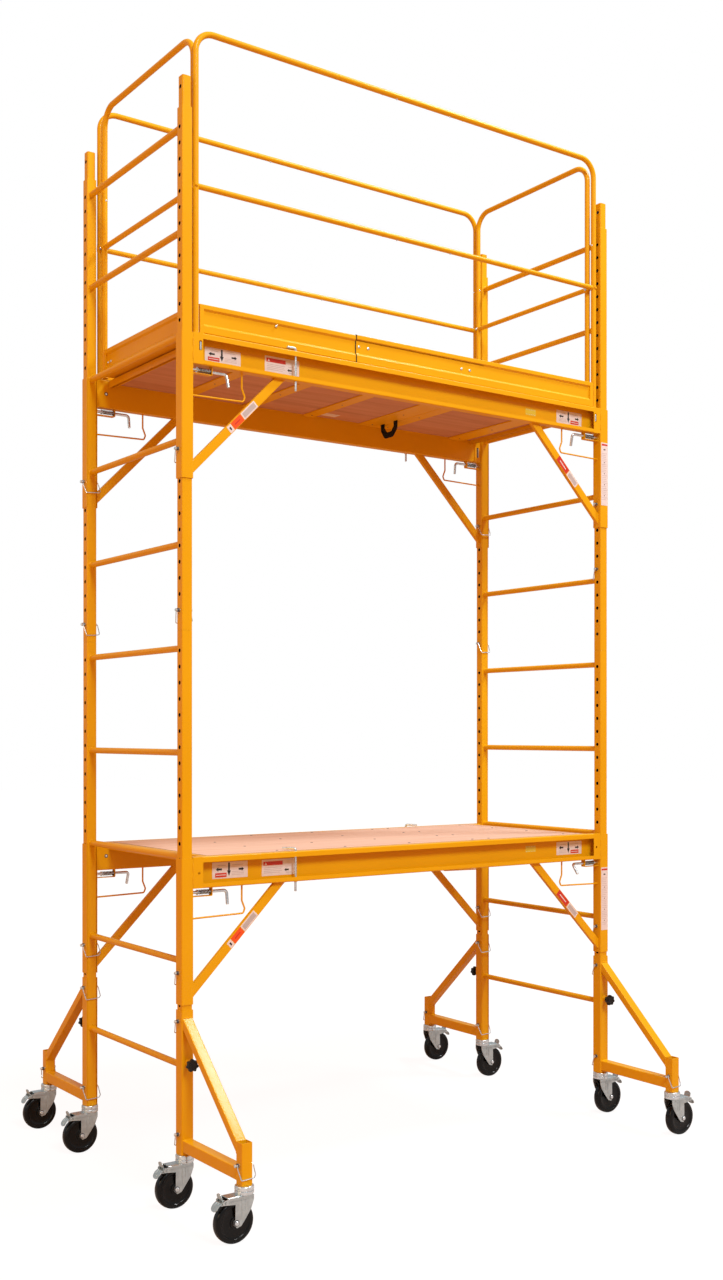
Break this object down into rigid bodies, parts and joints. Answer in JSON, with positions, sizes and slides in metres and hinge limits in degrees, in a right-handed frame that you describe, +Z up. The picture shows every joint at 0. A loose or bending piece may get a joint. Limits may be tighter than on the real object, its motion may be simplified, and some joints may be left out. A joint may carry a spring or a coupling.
{
  "type": "baker scaffold",
  "caption": "Two-storey rolling baker scaffold: square-post ladder frames, two height-adjustable plywood platforms, outriggers, braked casters, guardrails and toe boards.",
  "frame": {"origin": "on the floor, below the middle of the tower", "axes": "+Z up along the posts, +X along the platforms towards the right end frame, +Y from the front side to the rear side"},
  "size_m": [2.052, 1.5088, 3.735],
  "materials": {
    "orange_coat": "semi-gloss orange-yellow powder coat on steel",
    "plywood": "pale sanded plywood, brown film underneath",
    "zinc": "bright zinc plate on pressed steel",
    "black_nylon": "moulded black nylon",
    "black_rubber": "smooth hard black rubber"
  },
  "bodies": {
    "tower": {"frame_lower_left": "orange_coat", "frame_lower_right": "orange_coat", "frame_upper_left": "orange_coat", "frame_upper_right": "orange_coat", "outrigger_front_left": "orange_coat", "outrigger_front_right": "orange_coat", "outrigger_rear_left": "orange_coat", "outrigger_rear_right": "orange_coat"},
    "platform_lower": {"side_rail_lower_front": "orange_coat", "side_rail_lower_rear": "orange_coat", "deck_lower": "plywood", "deck_frame_lower": "orange_coat"},
    "platform_upper": {"side_rail_upper_front": "orange_coat", "side_rail_upper_rear": "orange_coat", "deck_upper": "plywood", "deck_frame_upper": "orange_coat", "guardrail_front": "orange_coat", "guardrail_rear": "orange_coat", "guardrail_left": "orange_coat", "guardrail_right": "orange_coat", "toe_board_front": "orange_coat", "toe_board_rear": "orange_coat", "toe_board_left": "orange_coat", "toe_board_right": "orange_coat"},
    "lock_pin_lower_front_left": {"lock_pin_lower_front_left": "zinc"},
    "lock_pin_lower_front_right": {"lock_pin_lower_front_right": "zinc"},
    "lock_pin_lower_rear_left": {"lock_pin_lower_rear_left": "zinc"},
    "lock_pin_lower_rear_right": {"lock_pin_lower_rear_right": "zinc"},
    "lock_pin_upper_front_left": {"lock_pin_upper_front_left": "zinc"},
    "lock_pin_upper_front_right": {"lock_pin_upper_front_right": "zinc"},
    "lock_pin_upper_rear_left": {"lock_pin_upper_rear_left": "zinc"},
    "lock_pin_upper_rear_right": {"lock_pin_upper_rear_right": "zinc"},
    "knob_front_left": {"knob_front_left": "black_nylon"},
    "knob_front_right": {"knob_front_right": "black_nylon"},
    "knob_rear_left": {"knob_rear_left": "black_nylon"},
    "knob_rear_right": {"knob_rear_right": "black_nylon"},
    "swivel_front_left_inner": {"caster_fork_front_left_inner": "zinc"},
    "wheel_front_left_inner": {"caster_wheel_front_left_inner": "black_rubber"},
    "pedal_front_left_inner": {"caster_pedal_front_left_inner": "zinc"},
    "swivel_front_left_outer": {"caster_fork_front_left_outer": "zinc"},
    "wheel_front_left_outer": {"caster_wheel_front_left_outer": "black_rubber"},
    "pedal_front_left_outer": {"caster_pedal_front_left_outer": "zinc"},
    "swivel_front_right_inner": {"caster_fork_front_right_inner": "zinc"},
    "wheel_front_right_inner": {"caster_wheel_front_right_inner": "black_rubber"},
    "pedal_front_right_inner": {"caster_pedal_front_right_inner": "zinc"},
    "swivel_front_right_outer": {"caster_fork_front_right_outer": "zinc"},
    "wheel_front_right_outer": {"caster_wheel_front_right_outer": "black_rubber"},
    "pedal_front_right_outer": {"caster_pedal_front_right_outer": "zinc"},
    "swivel_rear_left_inner": {"caster_fork_rear_left_inner": "zinc"},
    "wheel_rear_left_inner": {"caster_wheel_rear_left_inner": "black_rubber"},
    "pedal_rear_left_inner": {"caster_pedal_rear_left_inner": "zinc"},
    "swivel_rear_left_outer": {"caster_fork_rear_left_outer": "zinc"},
    "wheel_rear_left_outer": {"caster_wheel_rear_left_outer": "black_rubber"},
    "pedal_rear_left_outer": {"caster_pedal_rear_left_outer": "zinc"},
    "swivel_rear_right_inner": {"caster_fork_rear_right_inner": "zinc"},
    "wheel_rear_right_inner": {"caster_wheel_rear_right_inner": "black_rubber"},
    "pedal_rear_right_inner": {"caster_pedal_rear_right_inner": "zinc"},
    "swivel_rear_right_outer": {"caster_fork_rear_right_outer": "zinc"},
    "wheel_rear_right_outer": {"caster_wheel_rear_right_outer": "black_rubber"},
    "pedal_rear_right_outer": {"caster_pedal_rear_right_outer": "zinc"}
  },
  "joints": [
    {"name": "platform_lower_height", "type": "slide", "parent": "tower", "child": "platform_lower", "axis": [0, 0, 1], "range_m": [0, 0.3048]},
    {"name": "platform_upper_height", "type": "slide", "parent": "tower", "child": "platform_upper", "axis": [0, 0, 1], "range_m": [0, 0.3048]},
    {"name": "lock_pin_lower_front_left_pull", "type": "slide", "parent": "platform_lower", "child": "lock_pin_lower_front_left", "axis": [1, 0, 0], "range_m": [0, 0.02], "stiffness_N_per_m": 400, "springref_m": -0.01},
    {"name": "lock_pin_lower_front_right_pull", "type": "slide", "parent": "platform_lower", "child": "lock_pin_lower_front_right", "axis": [-1, 0, 0], "range_m": [0, 0.02], "stiffness_N_per_m": 400, "springref_m": -0.01},
    {"name": "lock_pin_lower_rear_left_pull", "type": "slide", "parent": "platform_lower", "child": "lock_pin_lower_rear_left", "axis": [1, 0, 0], "range_m": [0, 0.02], "stiffness_N_per_m": 400, "springref_m": -0.01},
    {"name": "lock_pin_lower_rear_right_pull", "type": "slide", "parent": "platform_lower", "child": "lock_pin_lower_rear_right", "axis": [-1, 0, 0], "range_m": [0, 0.02], "stiffness_N_per_m": 400, "springref_m": -0.01},
    {"name": "lock_pin_upper_front_left_pull", "type": "slide", "parent": "platform_upper", "child": "lock_pin_upper_front_left", "axis": [1, 0, 0], "range_m": [0, 0.02], "stiffness_N_per_m": 400, "springref_m": -0.01},
    {"name": "lock_pin_upper_front_right_pull", "type": "slide", "parent": "platform_upper", "child": "lock_pin_upper_front_right", "axis": [-1, 0, 0], "range_m": [0, 0.02], "stiffness_N_per_m": 400, "springref_m": -0.01},
    {"name": "lock_pin_upper_rear_left_pull", "type": "slide", "parent": "platform_upper", "child": "lock_pin_upper_rear_left", "axis": [1, 0, 0], "range_m": [0, 0.02], "stiffness_N_per_m": 400, "springref_m": -0.01},
    {"name": "lock_pin_upper_rear_right_pull", "type": "slide", "parent": "platform_upper", "child": "lock_pin_upper_rear_right", "axis": [-1, 0, 0], "range_m": [0, 0.02], "stiffness_N_per_m": 400, "springref_m": -0.01},
    {"name": "knob_front_left_turn", "type": "hinge", "parent": "tower", "child": "knob_front_left", "pos_m": [-0.918, -0.3564, 0.452], "axis": [0, -1, 0], "range_deg": [0, 360]},
    {"name": "knob_front_right_turn", "type": "hinge", "parent": "tower", "child": "knob_front_right", "pos_m": [0.918, -0.3564, 0.452], "axis": [0, -1, 0], "range_deg": [0, 360]},
    {"name": "knob_rear_left_turn", "type": "hinge", "parent": "tower", "child": "knob_rear_left", "pos_m": [-0.918, 0.3564, 0.452], "axis": [0, 1, 0], "range_deg": [0, 360]},
    {"name": "knob_rear_right_turn", "type": "hinge", "parent": "tower", "child": "knob_rear_right", "pos_m": [0.918, 0.3564, 0.452], "axis": [0, 1, 0], "range_deg": [0, 360]},
    {"name": "swivel_front_left_inner_turn", "type": "hinge", "parent": "tower", "child": "swivel_front_left_inner", "pos_m": [-0.918, -0.3564, 0.15], "axis": [0, 0, 1], "continuous": true},
    {"name": "wheel_front_left_inner_roll", "type": "hinge", "parent": "swivel_front_left_inner", "child": "wheel_front_left_inner", "pos_m": [-0.956, -0.3564, 0.0635], "axis": [0, 1, 0], "continuous": true},
    {"name": "pedal_front_left_inner_press", "type": "hinge", "parent": "swivel_front_left_inner", "child": "pedal_front_left_inner", "pos_m": [-0.992, -0.3564, 0.128], "axis": [0, -1, 0], "range_deg": [0, 15]},
    {"name": "swivel_front_left_outer_turn", "type": "hinge", "parent": "tower", "child": "swivel_front_left_outer", "pos_m": [-0.918, -0.7254, 0.15], "axis": [0, 0, 1], "continuous": true},
    {"name": "wheel_front_left_outer_roll", "type": "hinge", "parent": "swivel_front_left_outer", "child": "wheel_front_left_outer", "pos_m": [-0.956, -0.7254, 0.0635], "axis": [0, 1, 0], "continuous": true},
    {"name": "pedal_front_left_outer_press", "type": "hinge", "parent": "swivel_front_left_outer", "child": "pedal_front_left_outer", "pos_m": [-0.992, -0.7254, 0.128], "axis": [0, -1, 0], "range_deg": [0, 15]},
    {"name": "swivel_front_right_inner_turn", "type": "hinge", "parent": "tower", "child": "swivel_front_right_inner", "pos_m": [0.918, -0.3564, 0.15], "axis": [0, 0, 1], "continuous": true},
    {"name": "wheel_front_right_inner_roll", "type": "hinge", "parent": "swivel_front_right_inner", "child": "wheel_front_right_inner", "pos_m": [0.956, -0.3564, 0.0635], "axis": [0, 1, 0], "continuous": true},
    {"name": "pedal_front_right_inner_press", "type": "hinge", "parent": "swivel_front_right_inner", "child": "pedal_front_right_inner", "pos_m": [0.992, -0.3564, 0.128], "axis": [0, 1, 0], "range_deg": [0, 15]},
    {"name": "swivel_front_right_outer_turn", "type": "hinge", "parent": "tower", "child": "swivel_front_right_outer", "pos_m": [0.918, -0.7254, 0.15], "axis": [0, 0, 1], "continuous": true},
    {"name": "wheel_front_right_outer_roll", "type": "hinge", "parent": "swivel_front_right_outer", "child": "wheel_front_right_outer", "pos_m": [0.956, -0.7254, 0.0635], "axis": [0, 1, 0], "continuous": true},
    {"name": "pedal_front_right_outer_press", "type": "hinge", "parent": "swivel_front_right_outer", "child": "pedal_front_right_outer", "pos_m": [0.992, -0.7254, 0.128], "axis": [0, 1, 0], "range_deg": [0, 15]},
    {"name": "swivel_rear_left_inner_turn", "type": "hinge", "parent": "tower", "child": "swivel_rear_left_inner", "pos_m": [-0.918, 0.3564, 0.15], "axis": [0, 0, 1], "continuous": true},
    {"name": "wheel_rear_left_inner_roll", "type": "hinge", "parent": "swivel_rear_left_inner", "child": "wheel_rear_left_inner", "pos_m": [-0.956, 0.3564, 0.0635], "axis": [0, 1, 0], "continuous": true},
    {"name": "pedal_rear_left_inner_press", "type": "hinge", "parent": "swivel_rear_left_inner", "child": "pedal_rear_left_inner", "pos_m": [-0.992, 0.3564, 0.128], "axis": [0, -1, 0], "range_deg": [0, 15]},
    {"name": "swivel_rear_left_outer_turn", "type": "hinge", "parent": "tower", "child": "swivel_rear_left_outer", "pos_m": [-0.918, 0.7254, 0.15], "axis": [0, 0, 1], "continuous": true},
    {"name": "wheel_rear_left_outer_roll", "type": "hinge", "parent": "swivel_rear_left_outer", "child": "wheel_rear_left_outer", "pos_m": [-0.956, 0.7254, 0.0635], "axis": [0, 1, 0], "continuous": true},
    {"name": "pedal_rear_left_outer_press", "type": "hinge", "parent": "swivel_rear_left_outer", "child": "pedal_rear_left_outer", "pos_m": [-0.992, 0.7254, 0.128], "axis": [0, -1, 0], "range_deg": [0, 15]},
    {"name": "swivel_rear_right_inner_turn", "type": "hinge", "parent": "tower", "child": "swivel_rear_right_inner", "pos_m": [0.918, 0.3564, 0.15], "axis": [0, 0, 1], "continuous": true},
    {"name": "wheel_rear_right_inner_roll", "type": "hinge", "parent": "swivel_rear_right_inner", "child": "wheel_rear_right_inner", "pos_m": [0.956, 0.3564, 0.0635], "axis": [0, 1, 0], "continuous": true},
    {"name": "pedal_rear_right_inner_press", "type": "hinge", "parent": "swivel_rear_right_inner", "child": "pedal_rear_right_inner", "pos_m": [0.992, 0.3564, 0.128], "axis": [0, 1, 0], "range_deg": [0, 15]},
    {"name": "swivel_rear_right_outer_turn", "type": "hinge", "parent": "tower", "child": "swivel_rear_right_outer", "pos_m": [0.918, 0.7254, 0.15], "axis": [0, 0, 1], "continuous": true},
    {"name": "wheel_rear_right_outer_roll", "type": "hinge", "parent": "swivel_rear_right_outer", "child": "wheel_rear_right_outer", "pos_m": [0.956, 0.7254, 0.0635], "axis": [0, 1, 0], "continuous": true},
    {"name": "pedal_rear_right_outer_press", "type": "hinge", "parent": "swivel_rear_right_outer", "child": "pedal_rear_right_outer", "pos_m": [0.992, 0.7254, 0.128], "axis": [0, 1, 0], "range_deg": [0, 15]}
  ]
}
